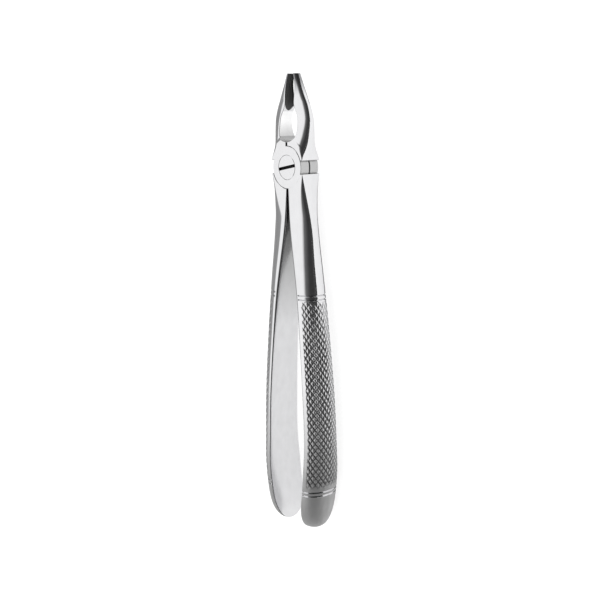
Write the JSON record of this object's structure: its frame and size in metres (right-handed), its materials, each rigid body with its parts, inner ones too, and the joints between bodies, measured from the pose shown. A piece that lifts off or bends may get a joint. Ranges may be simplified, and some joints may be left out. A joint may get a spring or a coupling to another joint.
{
  "type": "dental extraction forceps",
  "caption": "Straight dental extraction forceps: hollow beaks with an eye between them, a flat lap joint with a slotted pivot screw, and long knurled handles.",
  "frame": {"origin": "on the pivot axis, in the flat back face of the joint", "axes": "+X across the opening, towards the handle of the front half; +Y along the instrument, towards the tips of the beaks; +Z along the pivot axis, out through the slotted screw head"},
  "size_m": [0.0332, 0.1755, 0.0162],
  "materials": {
    "polished_steel": "polished forged stainless steel",
    "screw_steel": "turned and polished stainless steel"
  },
  "bodies": {
    "rear": {"rear_half": "polished_steel", "pivot_screw": "screw_steel"},
    "front": {"front_half": "polished_steel"}
  },
  "joints": [
    {"name": "pivot_hinge", "type": "hinge", "parent": "rear", "child": "front", "pos_m": [0, 0, 0.0044], "axis": [0, 0, 1], "range_deg": [-3.8, 28]}
  ]
}
